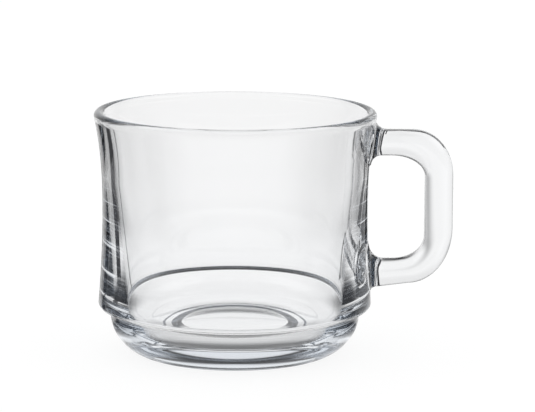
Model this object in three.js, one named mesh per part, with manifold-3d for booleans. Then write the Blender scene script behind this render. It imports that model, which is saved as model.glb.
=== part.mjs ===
// Stackable tea glass with a loop handle, pressed from clear toughened glass. Millimetres, +Z up.
// The real glass is one pressing. Here flat planes divide it into zones: foot, heel, wall, lip and handle.
// The origin is under the middle of the whole outline, on the surface that the glass stands on.

import * as THREE from "three";
import { mergeVertices } from "three/addons/utils/BufferGeometryUtils.js";
import Module from "manifold-3d";

// Outside of the bowl
const HEIGHT = 75;
const RIM_DIAMETER = 86;
const WAIST_DIAMETER = 81;
const WAIST_HEIGHT = 44;
const RIM_FLARE_POWER = 2.6;
const HEEL_DIAMETER = 83.5;
const HEEL_CORNER_RADIUS = 1.6;
const HEEL_FLARE_POWER = 1.8;

// Lip
const LIP_THICKNESS = 3;
const OUTER_LIP_LEAN = 12;
const INNER_LIP_LEAN = 15;

// Inside of the bowl
const FLOOR_HEIGHT = 8;
const BOWL_CORNER_RADIUS = 8;
const WALL_THICKNESS = 6.5;
const BORE_DRAFT = 4.1;
const MOUTH_FLARE_HEIGHT = 20;
const MOUTH_FLARE_POWER = 2;

// Foot
const LEDGE_HEIGHT = 13.8;
const LEDGE_RISE = 0.6;
const LEDGE_WIDTH = 3.55;
const FOOT_ROUND_RADIUS = 13;
const REST_RING_WIDTH = 2.2;
const REST_STEP_WIDTH = 0.8;
const REST_STEP_DEPTH = 0.5;
const RECESS_RIM_WIDTH = 2;
const RECESS_SLOPE_WIDTH = 3.4;
const RECESS_DEPTH = 3;

// Handle
const HANDLE_DROP = 5.8;
const HANDLE_RISE = 8.1;
const FINGER_GAP = 17.25;
const UPPER_ARM_THICKNESS = 7.85;
const LOWER_ARM_THICKNESS = 7.35;
const GRIP_THICKNESS = 8.7;
const HANDLE_DEPTH = 10;
const HANDLE_SQUARENESS = 2.6;
const SIDE_ROOT_FILLET = 3;
const ROOT_BITE = 1.5;
// Each side of each arm: reach of its bend, radius of its root fillet and swell towards the wall
const UPPER_OUTER_SIDE = { across: 12, down: 14, fillet: 4.2, swell: 0 };
const UPPER_INNER_SIDE = { across: 10.3, down: 6.6, fillet: 3.2, swell: 0 };
const LOWER_OUTER_SIDE = { across: 13.5, down: 17, fillet: 1.4, swell: 1.7 };
const LOWER_INNER_SIDE = { across: 9.5, down: 7, fillet: 4.6, swell: 0 };

// Planes that divide the pressing into zones
const HEEL_RING_HEIGHT = 4.5;
const LIP_RING_HEIGHT = 4;
const HANDLE_CLEAR_OF_RIM = 0.6;
const HANDLE_ARM_LENGTH = 6.4;

// Fineness of the curved faces
const TURN_STEPS = 56;
const WALL_STEPS = 9;
const BOWL_STEPS = 7;
const FOOT_STEPS = 6;
const CORNER_STEPS = 3;
const LIP_STEPS = 3;
const SECTION_SIDES = 16;
const ARM_STEPS = 7;
const BEND_STEPS = 6;
const GRIP_STEPS = 2;

const rimRadius = RIM_DIAMETER / 2;
const waistRadius = WAIST_DIAMETER / 2;
const heelRadius = HEEL_DIAMETER / 2;
const boreRadius = Math.min(waistRadius, heelRadius) - WALL_THICKNESS;
const bowlTop = FLOOR_HEIGHT + BOWL_CORNER_RADIUS;
const flareStart = HEIGHT - MOUTH_FLARE_HEIGHT;
const footRadius = heelRadius - LEDGE_WIDTH;
const heelCornerHeight = LEDGE_HEIGHT + LEDGE_RISE + HEEL_CORNER_RADIUS;
const lip = { radius: LIP_THICKNESS / 2, r: rimRadius - LIP_THICKNESS / 2, z: HEIGHT - LIP_THICKNESS / 2 };
const outerLipEdge = lipPoint(-OUTER_LIP_LEAN);
const innerLipEdge = lipPoint(180 + INNER_LIP_LEAN);

const wasm = await Module();
wasm.setup();

function degrees(angle) {
  return THREE.MathUtils.degToRad(angle);
}

function lipPoint(angle) {
  const turn = degrees(angle);
  return new THREE.Vector2(lip.r + lip.radius * Math.cos(turn), lip.z + lip.radius * Math.sin(turn));
}

// Radius of the wall's outside: least at the waist, with a flare up to the lip and one down to the heel.
function outerRadius(z) {
  if (z > WAIST_HEIGHT) {
    const rise = (z - WAIST_HEIGHT) / (outerLipEdge.y - WAIST_HEIGHT);
    return waistRadius + (outerLipEdge.x - waistRadius) * rise ** RIM_FLARE_POWER;
  }
  const fall = (WAIST_HEIGHT - z) / (WAIST_HEIGHT - heelCornerHeight);
  return waistRadius + (heelRadius - waistRadius) * fall ** HEEL_FLARE_POWER;
}

// Radius of the straight bore, which widens upwards by its draft.
function boreRadiusAt(z) {
  return boreRadius + (z - bowlTop) * Math.tan(degrees(BORE_DRAFT));
}

// Radius of the wall's inside above the rounded bowl: the bore, with a flare at the mouth.
function innerRadius(z) {
  const rise = Math.max(0, (z - flareStart) / (innerLipEdge.y - flareStart));
  const flare = innerLipEdge.x - boreRadiusAt(innerLipEdge.y);
  return boreRadiusAt(z) + flare * rise ** MOUTH_FLARE_POWER;
}

function arc(r, z, radius, from, to, steps) {
  return new THREE.EllipseCurve(r, z, radius, radius, degrees(from), degrees(to)).getPoints(steps);
}

// Points of a wall surface between two heights, both ends included.
function wallPoints(radiusAt, fromZ, toZ) {
  const points = [];
  for (let i = 0; i <= WALL_STEPS; i++) {
    const z = THREE.MathUtils.lerp(fromZ, toZ, i / WALL_STEPS);
    points.push(new THREE.Vector2(radiusAt(z), z));
  }
  return points;
}

// Rounded corner from the bore down to the flat floor, and the middle of the floor.
function bowlPoints() {
  const points = [];
  const floorRadius = boreRadius - BOWL_CORNER_RADIUS;
  for (let i = 1; i <= BOWL_STEPS; i++) {
    const turn = degrees((90 * i) / BOWL_STEPS);
    const z = bowlTop - BOWL_CORNER_RADIUS * Math.sin(turn);
    const r = THREE.MathUtils.lerp(floorRadius, boreRadiusAt(z), Math.cos(turn));
    points.push(new THREE.Vector2(r, z));
  }
  points.push(new THREE.Vector2(0, FLOOR_HEIGHT));
  return points;
}

// Underside from the axis out to the ring that the glass stands on.
function undersidePoints() {
  const ringOuter = footRadius - FOOT_ROUND_RADIUS;
  const ringInner = ringOuter - REST_RING_WIDTH;
  const stepInner = ringInner - REST_STEP_WIDTH;
  const recessOuter = stepInner - RECESS_RIM_WIDTH;
  const recessInner = recessOuter - RECESS_SLOPE_WIDTH;
  return [
    new THREE.Vector2(0, RECESS_DEPTH),
    new THREE.Vector2(recessInner, RECESS_DEPTH),
    new THREE.Vector2(recessOuter, REST_STEP_DEPTH),
    new THREE.Vector2(stepInner, REST_STEP_DEPTH),
    new THREE.Vector2(ringInner, 0),
  ];
}

// Whole section of the bowl: underside, foot, ledge, heel, outside, lip, inside and floor.
function bowlProfile() {
  const ledgeOuter = heelRadius - HEEL_CORNER_RADIUS;
  const roundCentre = footRadius - FOOT_ROUND_RADIUS;
  return [
    ...undersidePoints(),
    ...arc(roundCentre, FOOT_ROUND_RADIUS, FOOT_ROUND_RADIUS, -90, 0, FOOT_STEPS),
    new THREE.Vector2(footRadius, LEDGE_HEIGHT),
    ...arc(ledgeOuter, heelCornerHeight, HEEL_CORNER_RADIUS, -90, 0, CORNER_STEPS),
    ...wallPoints(outerRadius, heelCornerHeight, outerLipEdge.y).slice(1),
    ...arc(lip.r, lip.z, lip.radius, 0, 90, LIP_STEPS),
    ...arc(lip.r, lip.z, lip.radius, 90, 180, LIP_STEPS).slice(1),
    ...wallPoints(innerRadius, innerLipEdge.y, bowlTop),
    ...bowlPoints(),
  ];
}

// Closed solid from a geometry, with its shared corners merged.
function solidFrom(geometry) {
  const bare = new THREE.BufferGeometry();
  bare.setAttribute("position", geometry.getAttribute("position"));
  bare.setIndex(geometry.index);
  const merged = mergeVertices(bare, 1e-4);
  const corners = [];
  const index = merged.index.array;
  for (let i = 0; i < index.length; i += 3) {
    const [a, b, c] = [index[i], index[i + 1], index[i + 2]];
    if (a !== b && b !== c && c !== a) {
      corners.push(a, b, c);
    }
  }
  const vertProperties = new Float32Array(merged.getAttribute("position").array);
  const triVerts = new Uint32Array(corners);
  return new wasm.Manifold(new wasm.Mesh({ numProp: 3, vertProperties, triVerts }));
}

function geometryFrom(solid) {
  const mesh = solid.getMesh();
  const geometry = new THREE.BufferGeometry();
  geometry.setAttribute("position", new THREE.BufferAttribute(mesh.vertProperties, 3));
  geometry.setIndex(new THREE.BufferAttribute(mesh.triVerts, 1));
  geometry.computeVertexNormals();
  return geometry;
}

function bowlSolid() {
  const turned = new THREE.LatheGeometry(bowlProfile(), TURN_STEPS);
  turned.rotateX(Math.PI / 2);
  return solidFrom(turned);
}

// Two sides of the handle's loop, seen along Y, from the upper root to the lower root.
// Both have the same number of points, so each pair of points spans one section of the bar.
function handleSides() {
  const top = HEIGHT - HANDLE_DROP;
  const bottom = LEDGE_HEIGHT + HANDLE_RISE;
  const innerX = waistRadius + FINGER_GAP;
  const innerTop = top - UPPER_ARM_THICKNESS;
  const innerBottom = bottom + LOWER_ARM_THICKNESS;
  return {
    outer: loopSide(innerX + GRIP_THICKNESS, top, bottom, UPPER_OUTER_SIDE, LOWER_OUTER_SIDE, 1),
    inner: loopSide(innerX, innerTop, innerBottom, UPPER_INNER_SIDE, LOWER_INNER_SIDE, -1),
  };
}

// One side of the loop: upper arm, upper bend, upright, lower bend and lower arm.
function loopSide(x, top, bottom, upper, lower, away) {
  const uprightTop = top - upper.down;
  const uprightBottom = bottom + lower.down;
  const points = armPoints(x - upper.across, top, upper, away);
  points.push(...bendPoints(x - upper.across, uprightTop, upper, 90, 0));
  for (let i = 1; i < GRIP_STEPS; i++) {
    points.push(new THREE.Vector2(x, THREE.MathUtils.lerp(uprightTop, uprightBottom, i / GRIP_STEPS)));
  }
  points.push(...bendPoints(x - lower.across, uprightBottom, lower, 0, -90));
  points.push(...armPoints(x - lower.across, bottom, lower, -away).reverse());
  return points;
}

// Side of an arm from its root to its bend. It swells towards the wall and ends there in a fillet.
function armPoints(bendStart, z, side, away) {
  const wall = outerRadius(z);
  const points = [];
  for (let i = 0; i < ARM_STEPS; i++) {
    const share = armSpacing(i / ARM_STEPS);
    const along = THREE.MathUtils.lerp(wall - ROOT_BITE, bendStart, share);
    const rise = side.swell * (1 - share) + rootFillet(along - wall, side.fillet);
    points.push(new THREE.Vector2(along, z + away * rise));
  }
  return points;
}

// Sections of an arm lie closer together near the wall, where the fillet turns.
function armSpacing(share) {
  return share ** 1.5;
}

function bendPoints(x, z, side, from, to) {
  const curve = new THREE.EllipseCurve(x, z, side.across, side.down, degrees(from), degrees(to), true);
  return curve.getPoints(BEND_STEPS);
}

// How far a fillet of a given radius swells a root at a distance from the wall.
function rootFillet(distance, radius) {
  const reach = THREE.MathUtils.clamp(radius - distance, 0, radius);
  return radius - Math.sqrt(radius ** 2 - reach ** 2);
}

function signedPower(value, power) {
  return Math.sign(value) * Math.abs(value) ** power;
}

// Rounded section of the bar between a point on its outer side and one on its inner side.
function handleSection(outer, inner) {
  const middle = outer.clone().add(inner).multiplyScalar(0.5);
  const half = outer.clone().sub(inner).multiplyScalar(0.5);
  const wall = outerRadius(middle.y);
  const halfDepth = HANDLE_DEPTH / 2 + rootFillet(middle.x - wall, SIDE_ROOT_FILLET);
  const ring = [];
  for (let i = 0; i < SECTION_SIDES; i++) {
    const turn = (2 * Math.PI * i) / SECTION_SIDES;
    const across = signedPower(Math.cos(turn), 2 / HANDLE_SQUARENESS);
    const depth = signedPower(Math.sin(turn), 2 / HANDLE_SQUARENESS);
    ring.push(new THREE.Vector3(middle.x + half.x * across, halfDepth * depth, middle.y + half.y * across));
  }
  return ring;
}

// Closed skin over a row of rings, with a fan on each end.
function loft(rings) {
  const sides = rings[0].length;
  const points = rings.flat();
  const index = [];
  for (let k = 0; k + 1 < rings.length; k++) {
    for (let i = 0; i < sides; i++) {
      const [a, b] = [k * sides + i, k * sides + ((i + 1) % sides)];
      index.push(a, a + sides, b, b, a + sides, b + sides);
    }
  }
  const last = points.length - sides;
  for (let i = 1; i + 1 < sides; i++) {
    index.push(0, i, i + 1, last, last + i + 1, last + i);
  }
  return new THREE.BufferGeometry().setFromPoints(points).setIndex(index);
}

function handleSolid() {
  const { outer, inner } = handleSides();
  return solidFrom(loft(outer.map((point, i) => handleSection(point, inner[i]))));
}

// Box between two corners, used to take one zone out of the pressing.
function zoneBox(low, high) {
  const size = new THREE.Vector3().subVectors(high, low);
  const box = new THREE.BoxGeometry(size.x, size.y, size.z);
  box.translate(low.x + size.x / 2, low.y + size.y / 2, low.z + size.z / 2);
  return solidFrom(box);
}

const glass = new THREE.MeshStandardMaterial({
  color: 0xeaf1ef,
  roughness: 0.04,
  metalness: 0,
  transparent: true,
  opacity: 0.35,
});

function zoneMesh(name, solid) {
  const mesh = new THREE.Mesh(geometryFrom(solid), glass.clone());
  mesh.name = name;
  return mesh;
}

// Zones of the pressing between planes at x or z, measured from the bowl's axis and from the base.
function zones() {
  const pressing = bowlSolid().add(handleSolid());
  const reach = waistRadius + FINGER_GAP + GRIP_THICKNESS;
  const margin = HEIGHT;
  const armStart = Math.max(rimRadius, waistRadius, heelRadius) + HANDLE_CLEAR_OF_RIM;
  const gripStart = armStart + HANDLE_ARM_LENGTH;
  const heelTop = LEDGE_HEIGHT + HEEL_RING_HEIGHT;
  const lipBottom = HEIGHT - LIP_RING_HEIGHT;
  const armsApart = (HEIGHT - HANDLE_DROP + LEDGE_HEIGHT + HANDLE_RISE) / 2;
  const slab = (x0, x1, z0, z1) =>
    pressing.intersect(zoneBox(new THREE.Vector3(x0, -margin, z0), new THREE.Vector3(x1, margin, z1)));
  const [west, east, under, over] = [-rimRadius - margin, reach + margin, -margin, HEIGHT + margin];
  return [
    zoneMesh("foot", slab(west, armStart, under, LEDGE_HEIGHT)),
    zoneMesh("heel_ring", slab(west, armStart, LEDGE_HEIGHT, heelTop)),
    zoneMesh("bowl_wall", slab(west, armStart, heelTop, lipBottom)),
    zoneMesh("lip_ring", slab(west, armStart, lipBottom, over)),
    zoneMesh("upper_handle_arm", slab(armStart, gripStart, armsApart, over)),
    zoneMesh("lower_handle_arm", slab(armStart, gripStart, under, armsApart)),
    zoneMesh("handle_grip", slab(gripStart, east, under, over)),
  ];
}

const teaGlass = new THREE.Group();
teaGlass.name = "tea_glass";
const pieces = new THREE.Group();
pieces.position.x = (rimRadius - (waistRadius + FINGER_GAP + GRIP_THICKNESS)) / 2;
pieces.add(...zones());
teaGlass.add(pieces);

export default teaGlass;
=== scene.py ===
"""Stackable tea glass with a loop handle: looks of the pressed clear glass, its studio and its camera."""

import math

import bmesh
import bpy
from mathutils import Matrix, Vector


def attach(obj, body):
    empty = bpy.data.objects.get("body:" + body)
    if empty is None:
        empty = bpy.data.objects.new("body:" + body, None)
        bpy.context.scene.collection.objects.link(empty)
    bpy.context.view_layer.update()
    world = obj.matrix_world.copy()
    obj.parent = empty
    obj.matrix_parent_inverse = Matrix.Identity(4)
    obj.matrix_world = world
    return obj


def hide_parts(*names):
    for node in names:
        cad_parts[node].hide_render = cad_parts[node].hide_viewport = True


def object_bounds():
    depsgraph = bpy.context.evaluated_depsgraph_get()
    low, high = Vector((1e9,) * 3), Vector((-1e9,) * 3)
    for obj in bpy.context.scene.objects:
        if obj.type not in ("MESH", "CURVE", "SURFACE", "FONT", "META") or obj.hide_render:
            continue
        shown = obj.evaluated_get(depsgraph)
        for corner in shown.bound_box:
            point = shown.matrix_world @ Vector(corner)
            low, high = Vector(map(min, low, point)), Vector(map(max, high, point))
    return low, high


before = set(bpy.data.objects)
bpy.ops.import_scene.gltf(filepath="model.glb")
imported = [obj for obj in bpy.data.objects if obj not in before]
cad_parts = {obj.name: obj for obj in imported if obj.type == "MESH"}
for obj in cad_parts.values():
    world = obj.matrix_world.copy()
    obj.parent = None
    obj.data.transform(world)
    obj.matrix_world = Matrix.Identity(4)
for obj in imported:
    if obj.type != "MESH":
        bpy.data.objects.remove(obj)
CAD_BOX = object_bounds()

bl_info = {
    "name": "Tea Glass",
    "version": (1, 0, 0),
    "blender": (4, 5, 0),
    "location": "View3D > Sidebar > Tea Glass",
    "description": "Builds a pressed tea glass with a loop handle, and the studio that shows it",
    "category": "Add Mesh",
}

MM = 0.001
GLASS_NODES = tuple(sorted(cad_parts))

# Fineness of the glass
TURN_STEPS = 192
SECTION_SIDES = 48
ROUNDING_STEPS = 6
SMOOTH_ANGLE = math.radians(35)
MERGE_DISTANCE = 1e-6

# Size of a fresh plane or circle, before its corners are put in place, in metres
FRESH_SIZE = 0.01

# Nature of the glass
REFRACTIVE_INDEX = 1.52
RIPPLE_SCALE = 45.0
RIPPLE_STRENGTH = 0.015
RIPPLE_HEIGHT = 1 * MM


def length(name, description, default):
    """A size in millimetres, kept as a length in metres."""
    return bpy.props.FloatProperty(
        name=name,
        description=description,
        default=default * MM,
        subtype="DISTANCE",
        unit="LENGTH",
        precision=5,
    )


class TeaGlassBowl(bpy.types.PropertyGroup):
    """Sizes of the bowl, lip, foot and underside."""

    height: length("Height", "From the table to the top of the lip", 75)
    rim_diameter: length("Rim diameter", "Across the outside of the lip", 86)
    waist_diameter: length("Waist diameter", "Outside, where the wall is narrowest", 81)
    waist_height: length("Waist height", "Height of the narrowest part", 44)
    heel_diameter: length("Heel diameter", "Outside, just above the ledge", 83.5)
    heel_corner: length("Heel corner", "Radius of the corner between wall and ledge", 1.6)
    lip_thickness: length("Lip thickness", "Across the rounded lip", 3)
    bore_diameter: length("Bore diameter", "Inside, where the wall meets the rounded corner", 68)
    bore_draft: bpy.props.FloatProperty(
        name="Bore draft",
        description="Lean of the inside wall, which widens upwards",
        default=math.radians(4.1),
        subtype="ANGLE",
        unit="ROTATION",
    )
    mouth_flare: length("Mouth flare", "Depth below the lip at which the inside starts to flare", 20)
    floor_height: length("Floor height", "Thickness of the glass under the drink", 8)
    floor_corner: length("Floor corner", "Radius between the inside wall and the floor", 8)
    ledge_height: length("Ledge height", "Height of the ledge that sits on another glass, at the foot", 13.8)
    ledge_rise: length("Ledge rise", "How much higher the ledge is at its outer edge", 0.6)
    foot_diameter: length("Foot diameter", "Across the foot, under the ledge", 76.4)
    foot_round: length("Foot round", "Radius of the foot's rounded side", 13)
    rest_width: length("Rest width", "Width of the flat ring that the glass stands on", 2.2)
    recess_radius: length("Recess radius", "Radius of the raised middle of the underside", 16.8)
    recess_depth: length("Recess depth", "How far the middle of the underside is raised", 3)


class TeaGlassHandle(bpy.types.PropertyGroup):
    """Sizes of the loop handle."""

    drop: length("Drop", "From the top of the lip down to the upper arm", 5.8)
    rise: length("Rise", "From the ledge up to the lower arm", 8.1)
    finger_gap: length("Finger gap", "From the waist to the upright grip", 17.25)
    grip_thickness: length("Grip thickness", "Thickness of the upright grip", 8.7)
    upper_thickness: length("Upper arm thickness", "Thickness of the upper arm", 7.85)
    lower_thickness: length("Lower arm thickness", "Thickness of the lower arm at its bend", 7.35)
    depth: length("Depth", "Width of the bar from front to back", 10)


class TeaGlassFinish(bpy.types.PropertyGroup):
    """Finish of the glass and of the studio around it."""

    tint: bpy.props.FloatVectorProperty(
        name="Glass tint",
        description="Colour that light takes on deep inside the glass",
        default=(0.80, 0.85, 0.91),
        subtype="COLOR",
        size=3,
        min=0,
        max=1,
    )
    depth_of_tint: bpy.props.FloatProperty(
        name="Depth of tint", description="How quickly the tint builds up, per metre", default=12.0, min=0
    )
    shadow: bpy.props.FloatVectorProperty(
        name="Shadow colour",
        description="Share of light that each skin of the glass lets through to the table",
        default=(0.72, 0.73, 0.74),
        subtype="COLOR",
        size=3,
        min=0,
        max=1,
    )
    floor_colour: bpy.props.FloatVectorProperty(
        name="Floor colour",
        description="Colour of the table that the glass stands on",
        default=(0.17, 0.17, 0.17),
        subtype="COLOR",
        size=3,
        min=0,
        max=1,
    )


# Shader maths


class Wire:
    """A node's output, with operators that add Math nodes. Without a socket it only adds nodes."""

    def __init__(self, tree, socket):
        self.tree = tree
        self.socket = socket

    def maths(self, operation, *values):
        """Add a Math node that starts with this output."""
        return self.node("ShaderNodeMath", {"operation": operation}, dict(enumerate((self, *values))))

    def node(self, kind, settings=None, inputs=None, output=0):
        """Add a node, set it up, link or fill its sockets, and return one of its outputs."""
        made = self.tree.nodes.new(kind)
        for name, value in (settings or {}).items():
            setattr(made, name, value)
        for key, value in (inputs or {}).items():
            if isinstance(value, Wire):
                self.tree.links.new(value.socket, made.inputs[key])
            else:
                made.inputs[key].default_value = value
        return Wire(self.tree, made.outputs[output] if made.outputs else None)

    def __add__(self, other):
        return self.maths("ADD", other)

    __radd__ = __add__

    def __mul__(self, other):
        return self.maths("MULTIPLY", other)

    __rmul__ = __mul__

    def __sub__(self, other):
        return self.maths("SUBTRACT", other)

    def __rsub__(self, other):
        return self.node("ShaderNodeMath", {"operation": "SUBTRACT"}, {0: other, 1: self})

    def either(self, other):
        """The larger of two values."""
        return self.maths("MAXIMUM", other)

    def fade(self, start, end):
        """0 up to the start, 1 from the end on, and a smooth rise between them."""
        return self.node(
            "ShaderNodeMapRange", {"interpolation_type": "SMOOTHSTEP"}, {"Value": self, 1: start, 2: end}
        )


def clean_tree(owner):
    """Empty the node tree of a material or world, and return a Wire that adds nodes to it."""
    owner.use_nodes = True
    owner.node_tree.nodes.clear()
    return Wire(owner.node_tree, None)


def clear_glass(finish):
    """Clear pressed glass: smooth, faintly wavy, tinted where it is thick."""
    material = bpy.data.materials.new("clear_glass")
    tree = clean_tree(material)
    place = tree.node("ShaderNodeTexCoord", output="Object")
    wave = tree.node(
        "ShaderNodeTexNoise",
        {"noise_dimensions": "3D"},
        {"Vector": place, "Scale": RIPPLE_SCALE, "Detail": 0.0},
    )
    skin = tree.node(
        "ShaderNodeBump", None, {"Strength": RIPPLE_STRENGTH, "Distance": RIPPLE_HEIGHT, "Height": wave}
    )
    body = tree.node(
        "ShaderNodeBsdfPrincipled",
        None,
        {
            "Base Color": (1, 1, 1, 1),
            "Roughness": 0.0,
            "IOR": REFRACTIVE_INDEX,
            "Transmission Weight": 1.0,
            "Normal": skin,
        },
    )
    veil = tree.node("ShaderNodeBsdfTransparent", None, {"Color": (*finish.shadow, 1)})
    shadow = tree.node("ShaderNodeLightPath", output="Is Shadow Ray")
    bounce = tree.node("ShaderNodeLightPath", output="Is Diffuse Ray")
    surface = tree.node("ShaderNodeMixShader", None, {0: shadow.either(bounce), 1: body, 2: veil})
    depth = tree.node(
        "ShaderNodeVolumeAbsorption", None, {"Color": (*finish.tint, 1), "Density": finish.depth_of_tint}
    )
    tree.node("ShaderNodeOutputMaterial", None, {"Surface": surface, "Volume": depth})
    return material


def glowing(name, colour):
    """A plain colour that no light or shadow changes."""
    material = bpy.data.materials.new(name)
    tree = clean_tree(material)
    glow = tree.node("ShaderNodeEmission", None, {"Color": (*colour, 1)})
    tree.node("ShaderNodeOutputMaterial", None, {"Surface": glow})
    return material


# Outline of the bowl, as (radius, height) points in millimetres


def arc(r, z, radius, start, end, steps):
    """Points of an arc about (r, z), between two angles in degrees."""
    points = []
    for i in range(steps + 1):
        turn = math.radians(start + (end - start) * i / steps)
        points.append((r + radius * math.cos(turn), z + radius * math.sin(turn)))
    return points


def rounded(corners, radius):
    """A run of corners, with a small radius on each one between the first and the last."""
    points = [corners[0]]
    for before, here, after in zip(corners, corners[1:], corners[2:]):
        here = Vector(here)
        to_before = (Vector(before) - here).normalized()
        to_after = (Vector(after) - here).normalized()
        half = to_before.angle(to_after) / 2
        back = radius / math.tan(half)
        centre = here + (to_before + to_after).normalized() * (radius / math.sin(half))
        start, end = here + to_before * back - centre, here + to_after * back - centre
        first = math.degrees(math.atan2(start.y, start.x))
        turn = math.degrees(start.angle_signed(end)) * -1
        points += arc(centre.x, centre.y, radius, first, first + turn, ROUNDING_STEPS)
    points.append(corners[-1])
    return points


class BowlOutline:
    """Section of the bowl, worked out from its sizes."""

    WALL_STEPS = 56
    # How suddenly the wall flares above the waist, below it, and inside the mouth
    FLARE_POWER_UP = 2.6
    FLARE_POWER_DOWN = 1.8
    MOUTH_POWER = 2
    # How far the lip's round goes past level, outside and inside, in degrees
    OUTER_LEAN = 12
    INNER_LEAN = 15
    # Radii at the corners of the underside, and where the foot meets the ledge
    SMALL_RADIUS = 0.35
    CREASE_RADIUS = 0.5
    # Slope and flat step between the recess of the underside and the ring
    SLOPE_WIDTH = 3.4
    STEP_WIDTH = 2
    STEP_HEIGHT = 0.5
    # First and last angle, in degrees, and steps of the foot's and the heel's arcs
    FOOT_ARC = (-87, -2, 36)
    HEEL_ARC = (-84, 0, 14)
    LIP_STEPS = 36
    CORNER_STEPS = 24
    FLOOR_STEPS = 12

    def __init__(self, sizes):
        for name in TeaGlassBowl.__annotations__:
            value = getattr(sizes, name)
            setattr(self, name, value if name == "bore_draft" else value / MM)
        self.lip_radius = self.lip_thickness / 2
        self.lip_r = self.rim_diameter / 2 - self.lip_radius
        self.lip_z = self.height - self.lip_radius
        self.lip_out = self.lip_point(-self.OUTER_LEAN)
        self.lip_in = self.lip_point(180 + self.INNER_LEAN)
        self.wall_bottom = self.ledge_height + self.ledge_rise + self.heel_corner
        self.corner_top = self.floor_height + self.floor_corner

    def lip_point(self, angle):
        """Point of the lip's round at an angle in degrees."""
        return arc(self.lip_r, self.lip_z, self.lip_radius, angle, angle, 1)[0]

    def outer(self, z):
        """Radius of the waisted outside."""
        waist = self.waist_diameter / 2
        if z > self.waist_height:
            rise = (z - self.waist_height) / (self.lip_out[1] - self.waist_height)
            return waist + (self.lip_out[0] - waist) * rise**self.FLARE_POWER_UP
        fall = (self.waist_height - z) / (self.waist_height - self.wall_bottom)
        return waist + (self.heel_diameter / 2 - waist) * fall**self.FLARE_POWER_DOWN

    def bore(self, z):
        """Radius of the drafted inside, without the flare of the mouth."""
        return self.bore_diameter / 2 + (z - self.corner_top) * math.tan(self.bore_draft)

    def inner(self, z):
        """Radius of the inside, with the flare of the mouth."""
        start = self.height - self.mouth_flare
        rise = max(0, (z - start) / (self.lip_in[1] - start))
        return self.bore(z) + (self.lip_in[0] - self.bore(self.lip_in[1])) * rise**self.MOUTH_POWER

    def wall(self, radius_at, start, end):
        """Points along a wall between two heights."""
        steps = [start + (end - start) * i / self.WALL_STEPS for i in range(self.WALL_STEPS + 1)]
        return [(radius_at(z), z) for z in steps]

    def underside(self):
        """From the middle of the recess out to the edge of the ring that the glass stands on."""
        rest_out = self.foot_diameter / 2 - self.foot_round
        rest_in = rest_out - self.rest_width
        slope_out = self.recess_radius + self.SLOPE_WIDTH
        corners = [
            (0, self.recess_depth),
            (self.recess_radius, self.recess_depth),
            (slope_out, self.STEP_HEIGHT),
            (slope_out + self.STEP_WIDTH, self.STEP_HEIGHT),
            (rest_in, 0),
            (rest_out, 0),
        ]
        return rounded(corners, self.SMALL_RADIUS)

    def foot(self):
        """Rounded side of the foot, the ledge, and the corner of the heel."""
        rest_out = self.foot_diameter / 2 - self.foot_round
        side = arc(rest_out, self.foot_round, self.foot_round, *self.FOOT_ARC)
        ledge_end = self.heel_diameter / 2 - self.heel_corner
        crease = rounded(
            [
                (self.foot_diameter / 2, self.foot_round),
                (self.foot_diameter / 2, self.ledge_height),
                (ledge_end, self.ledge_height + self.ledge_rise),
            ],
            self.CREASE_RADIUS,
        )
        heel = arc(ledge_end, self.wall_bottom, self.heel_corner, *self.HEEL_ARC)
        return side + crease + heel

    def corner_and_floor(self):
        """Rounded corner inside the bowl, and the floor in to the axis."""
        floor_radius = self.bore_diameter / 2 - self.floor_corner
        points = []
        for i in range(1, self.CORNER_STEPS + 1):
            turn = math.radians(90 * i / self.CORNER_STEPS)
            z = self.corner_top - self.floor_corner * math.sin(turn)
            points.append((floor_radius + (self.bore(z) - floor_radius) * math.cos(turn), z))
        for i in range(1, self.FLOOR_STEPS + 1):
            points.append((floor_radius * (1 - i / self.FLOOR_STEPS), self.floor_height))
        return points

    def points(self):
        """The whole section, from the middle of the underside round to the middle of the floor."""
        lip_end = 180 + self.INNER_LEAN
        lip = arc(self.lip_r, self.lip_z, self.lip_radius, -self.OUTER_LEAN, lip_end, self.LIP_STEPS)
        return [
            *self.underside(),
            *self.foot(),
            *self.wall(self.outer, self.wall_bottom, self.lip_out[1])[1:-1],
            *lip,
            *self.wall(self.inner, self.lip_in[1], self.corner_top)[1:],
            *self.corner_and_floor(),
        ]


# Loop of the handle, as pairs of points on its outer and inner side, in millimetres from the bowl's axis


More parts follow.
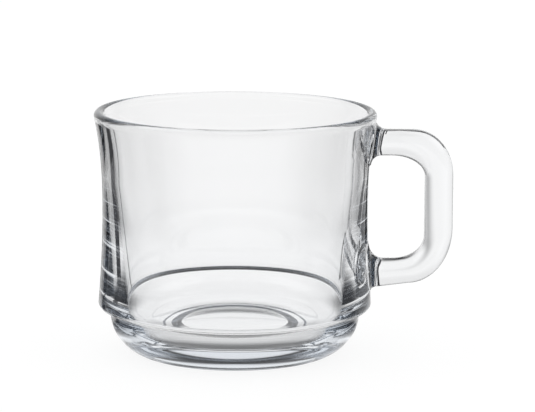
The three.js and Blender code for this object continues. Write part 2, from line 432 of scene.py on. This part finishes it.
class HandleLoop:
    """Sections of the handle's bar from the upper root to the lower root."""

    # How far the bar reaches into the wall, and the fillet at the front and back of its roots
    ROOT_BITE = 1.5
    SIDE_FILLET = 3
    # Power of the section: 2 is an ellipse, and more is squarer
    SQUARENESS = 2.6
    ARM_STEPS = 26
    # Power that sets the sections of an arm closer towards the wall
    ARM_CROWDING = 1.5
    BEND_STEPS = 22
    GRIP_STEPS = 6
    # Reach of the bend across and down, radius of the root fillet, and swell towards the wall
    UPPER_OUTER = (12, 14, 4.2, 0)
    UPPER_INNER = (10.3, 6.6, 3.2, 0)
    LOWER_OUTER = (13.5, 17, 1.4, 1.7)
    LOWER_INNER = (9.5, 7, 4.6, 0)

    def __init__(self, sizes, bowl):
        self.bowl = bowl
        self.half_depth = sizes.depth / MM / 2
        top = bowl.height - sizes.drop / MM
        bottom = bowl.ledge_height + sizes.rise / MM
        inner_x = bowl.waist_diameter / 2 + sizes.finger_gap / MM
        outer_x = inner_x + sizes.grip_thickness / MM
        inner_top = top - sizes.upper_thickness / MM
        inner_bottom = bottom + sizes.lower_thickness / MM
        self.outer = self.side(outer_x, top, bottom, self.UPPER_OUTER, self.LOWER_OUTER, 1)
        self.inner = self.side(inner_x, inner_top, inner_bottom, self.UPPER_INNER, self.LOWER_INNER, -1)

    @staticmethod
    def fillet(distance, radius):
        """How much a root fillet adds at a distance from the wall."""
        reach = min(max(radius - distance, 0), radius)
        return radius - math.sqrt(radius**2 - reach**2)

    def arm(self, bend_start, z, fillet, swell, away):
        """One side of an arm, from inside the wall to the start of the bend."""
        wall = self.bowl.outer(z)
        points = []
        for i in range(self.ARM_STEPS):
            share = (i / self.ARM_STEPS) ** self.ARM_CROWDING
            x = wall - self.ROOT_BITE + (bend_start - wall + self.ROOT_BITE) * share
            points.append((x, z + away * (swell * (1 - share) + self.fillet(x - wall, fillet))))
        return points

    def bend(self, x, z, across, down, start, end):
        """Part of an ellipse about (x, z), between two angles in degrees."""
        points = []
        for i in range(self.BEND_STEPS + 1):
            turn = math.radians(start + (end - start) * i / self.BEND_STEPS)
            points.append((x + across * math.cos(turn), z + down * math.sin(turn)))
        return points

    def side(self, x, top, bottom, upper, lower, away):
        """Outer or inner side of the loop, from the upper root to the lower root."""
        across, down, fillet, swell = upper
        points = self.arm(x - across, top, fillet, swell, away)
        points += self.bend(x - across, top - down, across, down, 90, 0)
        upright_top = top - down
        across, down, fillet, swell = lower
        upright_bottom = bottom + down
        for i in range(1, self.GRIP_STEPS):
            points.append((x, upright_top + (upright_bottom - upright_top) * i / self.GRIP_STEPS))
        points += self.bend(x - across, upright_bottom, across, down, 0, -90)
        points += self.arm(x - across, bottom, fillet, swell, -away)[::-1]
        return points

    def rings(self, axis_x):
        """Rounded sections of the bar, in metres in the part's frame."""
        rings = []
        power = 2 / self.SQUARENESS
        for (ox, oz), (ix, iz) in zip(self.outer, self.inner):
            mid_x, mid_z = (ox + ix) / 2, (oz + iz) / 2
            half_depth = self.half_depth + self.fillet(mid_x - self.bowl.outer(mid_z), self.SIDE_FILLET)
            ring = []
            for i in range(SECTION_SIDES):
                turn = 2 * math.pi * i / SECTION_SIDES
                across = math.copysign(abs(math.cos(turn)) ** power, math.cos(turn))
                depth = math.copysign(abs(math.sin(turn)) ** power, math.sin(turn))
                x = mid_x + (ox - ix) / 2 * across
                z = mid_z + (oz - iz) / 2 * across
                ring.append(Vector((axis_x + x * MM, half_depth * depth * MM, z * MM)))
            rings.append(ring)
        return rings


# Modelling steps


def start_fresh():
    """Leave edit mode, with nothing selected."""
    if bpy.context.object and bpy.context.object.mode != "OBJECT":
        bpy.ops.object.mode_set(mode="OBJECT")
    bpy.ops.object.select_all(action="DESELECT")


def axis_of_bowl(context):
    """X of the bowl's axis: the bowl's outside touches the low end of the box."""
    return CAD_BOX[0][0] + context.scene.tea_glass_bowl.rim_diameter / 2


def close_skin():
    """Merge what spin or extrude left double, and turn every face outwards."""
    bpy.ops.mesh.select_all(action="SELECT")
    bpy.ops.mesh.remove_doubles(threshold=MERGE_DISTANCE)
    bpy.ops.mesh.normals_make_consistent(inside=False)
    bpy.ops.object.mode_set(mode="OBJECT")


class TEAGLASS_OT_bowl(bpy.types.Operator):
    """Draw the section of the bowl and turn it about its axis"""

    bl_idname = "tea_glass.bowl"
    bl_label = "Turn the Bowl"

    def execute(self, context):
        axis_x = axis_of_bowl(context)
        section = BowlOutline(context.scene.tea_glass_bowl).points()
        outline = [Vector((axis_x + r * MM, 0, z * MM)) for r, z in section]
        start_fresh()
        bpy.ops.mesh.primitive_plane_add(size=FRESH_SIZE, location=(0, 0, 0))
        bowl = context.object
        bowl.name = bowl.data.name = "glass_body"
        bpy.ops.object.mode_set(mode="EDIT")
        bpy.ops.mesh.select_all(action="SELECT")
        bpy.ops.mesh.merge(type="CENTER")
        bpy.ops.transform.translate(value=outline[0])
        for here, there in zip(outline, outline[1:]):
            bpy.ops.mesh.extrude_vertices_move(TRANSFORM_OT_translate={"value": there - here})
        bpy.ops.mesh.select_all(action="SELECT")
        bpy.ops.mesh.spin(steps=TURN_STEPS, angle=2 * math.pi, center=(axis_x, 0, 0), axis=(0, 0, 1))
        close_skin()
        return {"FINISHED"}


class TEAGLASS_OT_handle(bpy.types.Operator):
    """Draw the handle's bar out along its loop and fuse it to the bowl"""

    bl_idname = "tea_glass.handle"
    bl_label = "Fuse the Handle"

    def execute(self, context):
        bowl = bpy.data.objects["glass_body"]
        loop = HandleLoop(context.scene.tea_glass_handle, BowlOutline(context.scene.tea_glass_bowl))
        self.draw_bar(context, loop.rings(axis_of_bowl(context)))
        bar = context.object
        start_fresh()
        context.view_layer.objects.active = bowl
        bowl.select_set(True)
        union = bowl.modifiers.new("handle", "BOOLEAN")
        union.operation = "UNION"
        union.solver = "EXACT"
        union.object = bar
        bpy.ops.object.modifier_apply(modifier=union.name)
        bpy.data.objects.remove(bar)
        bpy.ops.object.shade_smooth_by_angle(angle=SMOOTH_ANGLE)
        bowl.data.materials.clear()
        bowl.data.materials.append(clear_glass(context.scene.tea_glass_finish))
        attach(bowl, "root")
        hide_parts(*GLASS_NODES)
        return {"FINISHED"}

    @staticmethod
    def draw_bar(context, rings):
        """A capped ring, drawn out from section to section."""
        start_fresh()
        bpy.ops.mesh.primitive_circle_add(
            vertices=SECTION_SIDES, radius=FRESH_SIZE / 2, fill_type="NGON", location=(0, 0, 0)
        )
        bar = context.object
        bpy.ops.object.mode_set(mode="EDIT")
        bpy.ops.mesh.select_all(action="SELECT")
        for i, ring in enumerate(rings):
            if i:
                bpy.ops.mesh.extrude_region_move()
            mesh = bmesh.from_edit_mesh(bar.data)
            cap = next(face for face in mesh.faces if face.select)
            for corner, place in zip(cap.verts, ring):
                corner.co = place
            bmesh.update_edit_mesh(bar.data)
        close_skin()


class TEAGLASS_OT_studio(bpy.types.Operator):
    """Set out the table, the dark cards behind the glass, the light and the camera"""

    bl_idname = "tea_glass.studio"
    bl_label = "Set the Studio"

    # Size of the table and its drop below the foot, in metres
    TABLE_SIZE = 8
    TABLE_DROP = 0.00003
    # Glow that makes the table white to the camera
    TABLE_GLOW = 0.85

    # Colours of what the glass shows
    LIT = (1, 1, 1, 1)
    UNLIT = (0.03, 0.031, 0.034, 1)
    # Painted shade: the cards glow this near-black, and only the glass sees them
    CARD_COLOUR = (0.05, 0.05, 0.054)

    # Corners of the dark cards, in millimetres from the bowl's axis
    FLAGS = {
        "left_strip": ((-47.6, 2.7, 0), (-50.6, 0.2, 0), (-47.6, 2.7, 72), (-50.6, 0.2, 72)),
        "left_edge": ((-43.3, 11.9, 0), (-44.4, 11.6, 0), (-43.3, 11.9, 72), (-44.4, 11.6, 72)),
        "right_edge": ((45.2, 11.9, 31.5), (51, 11.4, 31.5), (44.6, 11.9, 60), (45.6, 11.8, 60)),
        "upper_root": ((41.7, 8.5, 57), (44, 8.5, 57), (41.7, 8.5, 71), (44, 8.5, 71)),
        "lower_root": ((41.2, 8.5, 17), (43.4, 8.5, 17), (41.2, 8.5, 33), (43.4, 8.5, 33)),
        "under_handle": ((42, 4, 57), (57, 4, 57), (42, 11.5, 57), (57, 9, 57)),
    }

    # Painted shade of the table in the glass. Each pair is the start and the end of a change: a TURN in
    # degrees from straight behind the glass, the others in millimetres from the bowl's axis.
    # Single numbers are shares
    FAR_REACH = (90, 140)
    SIDE_TURNS = {(0, 20): 0.05, (22, 46): 0.48, (47, 56): -0.08, (60, 90): 0.3}
    LEFT_TURN = (46, 56)
    LEFT_DARK = 0.9
    OUTER_TURN = (62, 78)
    OUTER_DARK = 0.85
    AHEAD_TURN = (105, 135)
    AHEAD_REACH = (70, 170)
    AHEAD_CLEAR = 0.9
    FRONT_TURN = (20, 45)
    FRONT_REACH = (40, 50)
    FRONT_BACK = (10, 36)
    FRONT_EASE = 0.35
    FLANK_ACROSS = (30, 45)
    FLANK_REACH = (45, 58)
    FLANK_BACK = (20, 32)
    NEAR_END = (64, 84)
    SHADE_BACK = (-12, 5)
    SHADE_REACH = (13, 17)
    SHADE_REACH_END = (27, 33)
    SHADE_DARK = 0.82
    FOREGROUND_DARK = 0.25

    # Light of the room in the glass. Each pair is the start and the end of a change, in degrees:
    # ASIDE from straight behind the glass, HEIGHT above level. A FALL is a share of the light, and the LEAN
    # lowers the ceiling's edge by so many degrees for each degree aside
    BACKDROP_ASIDE = (20, 60)
    BACKDROP_FALL = 0.85
    HORIZON_HEIGHT = (-4, 12)
    HORIZON_FALL = 0.1
    CEILING_HEIGHT = (30, 46)
    CEILING_FALL = 0.87
    CEILING_LEAN = 0.4
    PANEL_ASIDE = (55, 68)
    PANEL_ASIDE_END = (115, 150)
    PANEL_HEIGHT = (18, 30)
    PANEL_HEIGHT_END = (46, 58)

    # Camera: distance from the bowl's axis and height in metres, turns in radians, lens in millimetres
    CAMERA_DISTANCE = 0.9
    CAMERA_HEIGHT = 0.2035
    CAMERA_TILT = 0.1739
    CAMERA_ROLL = -0.0054
    CAMERA_PAN = -0.0100
    CAMERA_LENS = 201.44
    SENSOR_WIDTH = 36

    def execute(self, context):
        self.axis = axis_of_bowl(context)
        self.table(context)
        self.flags()
        self.light(context)
        self.camera(context)
        return {"FINISHED"}

    @staticmethod
    def seen_in_glass(tree):
        """1 for what is seen through the glass or mirrored in it."""
        mirrored = tree.node("ShaderNodeLightPath", output="Is Glossy Ray")
        return mirrored.either(tree.node("ShaderNodeLightPath", output="Is Transmission Ray"))

    def lit_colour(self, tree, share):
        """White where the share is 1, and the blue-black of an unlit room where it is 0."""
        return tree.node(
            "ShaderNodeMix",
            {"data_type": "RGBA"},
            {"Factor": share, "A": self.UNLIT, "B": self.LIT},
            "Result",
        )

    def table(self, context):
        """Pale table: white from the camera, and for what the glass shows, glowing with painted light, as if
        lit from behind, and painted shade.
        """
        start_fresh()
        bpy.ops.mesh.primitive_plane_add(size=self.TABLE_SIZE, location=(0, 0, -self.TABLE_DROP))
        floor = context.object
        floor.name = "table"
        material = bpy.data.materials.new("pale_table")
        tree = clean_tree(material)
        colour = (*context.scene.tea_glass_finish.floor_colour, 1)
        matt = tree.node("ShaderNodeBsdfDiffuse", None, {"Color": colour})
        from_camera = tree.node("ShaderNodeLightPath", output="Is Camera Ray")
        lift = tree.node("ShaderNodeEmission", None, {"Strength": from_camera * self.TABLE_GLOW})
        bare = tree.node("ShaderNodeAddShader", None, {0: matt, 1: lift})
        # Through or off the glass the table glows with painted light and shade, not lit by the world
        seen = self.lit_colour(tree, self.table_share(tree))
        lit = tree.node("ShaderNodeEmission", None, {"Color": seen})
        mixed = tree.node("ShaderNodeMixShader", None, {0: self.seen_in_glass(tree), 1: bare, 2: lit})
        tree.node("ShaderNodeOutputMaterial", None, {"Surface": mixed})
        floor.data.materials.append(material)

    def table_share(self, tree):
        """Painted light and shade of each spot of the table, as the glass shows it."""
        place = tree.node("ShaderNodeTexCoord", output="Object")
        x = tree.node("ShaderNodeSeparateXYZ", None, {0: place}, "X") - self.axis
        y = tree.node("ShaderNodeSeparateXYZ", None, {0: place}, "Y")
        across = x.maths("ABSOLUTE") * (1 / MM)
        back = y * (1 / MM)
        radius = (x * x + y * y).maths("SQRT") * (1 / MM)
        leftward = x.maths("ARCTAN2", y) * (-180 / math.pi)
        turn = leftward.maths("ABSOLUTE")
        past_near = radius.fade(*self.NEAR_END)

        # The table far in front stays clear of the painted shade, for the views from behind
        ahead = turn.fade(*self.AHEAD_TURN) * radius.fade(*self.AHEAD_REACH)
        unless_ahead = 1 - ahead * self.AHEAD_CLEAR

        # Painted shade of the room's dark sides, on the table away from the glass
        side_shade = sum(turn.fade(*edges) * dark for edges, dark in self.SIDE_TURNS.items())
        side_shade = side_shade.either(leftward.fade(*self.LEFT_TURN) * self.LEFT_DARK)
        side_shade = side_shade.either(turn.fade(*self.OUTER_TURN) * self.OUTER_DARK)
        far_side_shade = radius.fade(*self.FAR_REACH) * side_shade * unless_ahead

        # Painted shade beside and in front of the foot
        front = radius.fade(*self.FRONT_REACH) * turn.fade(*self.FRONT_TURN)
        front = front * (1 - back.fade(*self.FRONT_BACK)) * (1 - past_near * self.FRONT_EASE)
        front = front * unless_ahead

        # Painted shade close to the left and right of the foot
        flank_shade = across.fade(*self.FLANK_ACROSS) * radius.fade(*self.FLANK_REACH)
        flank_shade = flank_shade * (1 - past_near) * (1 - back.fade(*self.FLANK_BACK))

        # Painted shade under the front half of the foot, and a lighter painted shade on the table in front
        # of it
        front_half = 1 - back.fade(*self.SHADE_BACK)
        past_shade = radius.fade(*self.SHADE_REACH_END)
        shade = radius.fade(*self.SHADE_REACH) * (1 - past_shade) * front_half * self.SHADE_DARK
        foreground_shade = past_shade * front_half * self.FOREGROUND_DARK

        share = 1 - far_side_shade
        for dark in (front, flank_shade, shade, foreground_shade):
            share = share * (1 - dark)
        return share

    def flags(self):
        """Narrow dark cards that stand close to the glass, seen only in it, and draw its edges: painted
        shade of an unlit room.
        """
        black = glowing("dark_card", self.CARD_COLOUR)
        for name, corners in self.FLAGS.items():
            start_fresh()
            bpy.ops.mesh.primitive_plane_add(size=FRESH_SIZE, location=(0, 0, 0))
            flag = bpy.context.object
            flag.name = name
            for vertex, (x, y, z) in zip(flag.data.vertices, corners):
                vertex.co = (self.axis + x * MM, y * MM, z * MM)
            flag.data.materials.append(black)
            flag.visible_camera = False
            flag.visible_diffuse = False
            flag.visible_shadow = False

    def light(self, context):
        """Even light all round; the glass shows a lit backdrop and two side panels in a dark room."""
        world = bpy.data.worlds.new("studio_air")
        context.scene.world = world
        tree = clean_tree(world)
        place = tree.node("ShaderNodeTexCoord", output="Generated")
        x = tree.node("ShaderNodeSeparateXYZ", None, {0: place}, "X")
        y = tree.node("ShaderNodeSeparateXYZ", None, {0: place}, "Y")
        z = tree.node("ShaderNodeSeparateXYZ", None, {0: place}, "Z")
        aside = (x.maths("ARCTAN2", y) * (180 / math.pi)).maths("ABSOLUTE")
        height = z.maths("ARCSINE") * (180 / math.pi)
        horizon = height.fade(*self.HORIZON_HEIGHT) * self.HORIZON_FALL
        ceiling = (height + aside * self.CEILING_LEAN).fade(*self.CEILING_HEIGHT) * self.CEILING_FALL
        backdrop = (1 - aside.fade(*self.BACKDROP_ASIDE) * self.BACKDROP_FALL) * (1 - horizon - ceiling)
        panels = aside.fade(*self.PANEL_ASIDE) * (1 - aside.fade(*self.PANEL_ASIDE_END))
        panels = panels * height.fade(*self.PANEL_HEIGHT) * (1 - height.fade(*self.PANEL_HEIGHT_END))
        share = 1 - self.seen_in_glass(tree) * (1 - backdrop.either(panels))
        colour = self.lit_colour(tree, share)
        air = tree.node("ShaderNodeBackground", None, {"Color": colour, "Strength": 1.0})
        tree.node("ShaderNodeOutputWorld", None, {"Surface": air})

    def camera(self, context):
        """The photo's camera, and settings that let light pass many skins of glass."""
        data = bpy.data.cameras.new("photo_camera")
        data.sensor_width = self.SENSOR_WIDTH
        data.lens = self.CAMERA_LENS
        camera = bpy.data.objects.new("photo_camera", data)
        camera.location = (self.axis, -self.CAMERA_DISTANCE, self.CAMERA_HEIGHT)
        camera.rotation_euler = (math.pi / 2 - self.CAMERA_TILT, self.CAMERA_ROLL, self.CAMERA_PAN)
        scene = context.scene
        scene.collection.objects.link(camera)
        scene.camera = camera
        scene.view_settings.view_transform = "Standard"
        scene.cycles.max_bounces = 40
        scene.cycles.transmission_bounces = 40
        scene.cycles.glossy_bounces = 20
        scene.cycles.transparent_max_bounces = 24


class TEAGLASS_PT_panel(bpy.types.Panel):
    """Sizes, finish and steps of the tea glass"""

    bl_label = "Tea Glass"
    bl_idname = "TEAGLASS_PT_panel"
    bl_space_type = "VIEW_3D"
    bl_region_type = "UI"
    bl_category = "Tea Glass"

    def draw(self, context):
        for group in GROUPS:
            owner = getattr(context.scene, group)
            box = self.layout.box()
            for name in type(owner).__annotations__:
                box.prop(owner, name)
        for step in STEPS:
            self.layout.operator(step.bl_idname)


GROUPS = {
    "tea_glass_bowl": TeaGlassBowl,
    "tea_glass_handle": TeaGlassHandle,
    "tea_glass_finish": TeaGlassFinish,
}
STEPS = (TEAGLASS_OT_bowl, TEAGLASS_OT_handle, TEAGLASS_OT_studio)


def register():
    for kind in (*GROUPS.values(), *STEPS, TEAGLASS_PT_panel):
        bpy.utils.register_class(kind)
    for name, group in GROUPS.items():
        setattr(bpy.types.Scene, name, bpy.props.PointerProperty(type=group))


def unregister():
    for name in GROUPS:
        delattr(bpy.types.Scene, name)
    for kind in (TEAGLASS_PT_panel, *reversed(STEPS), *reversed(GROUPS.values())):
        bpy.utils.unregister_class(kind)


def main():
    register()
    bpy.ops.tea_glass.bowl()
    bpy.ops.tea_glass.handle()
    bpy.ops.tea_glass.studio()
    bpy.context.view_layer.update()


if __name__ == "__main__":
    main()
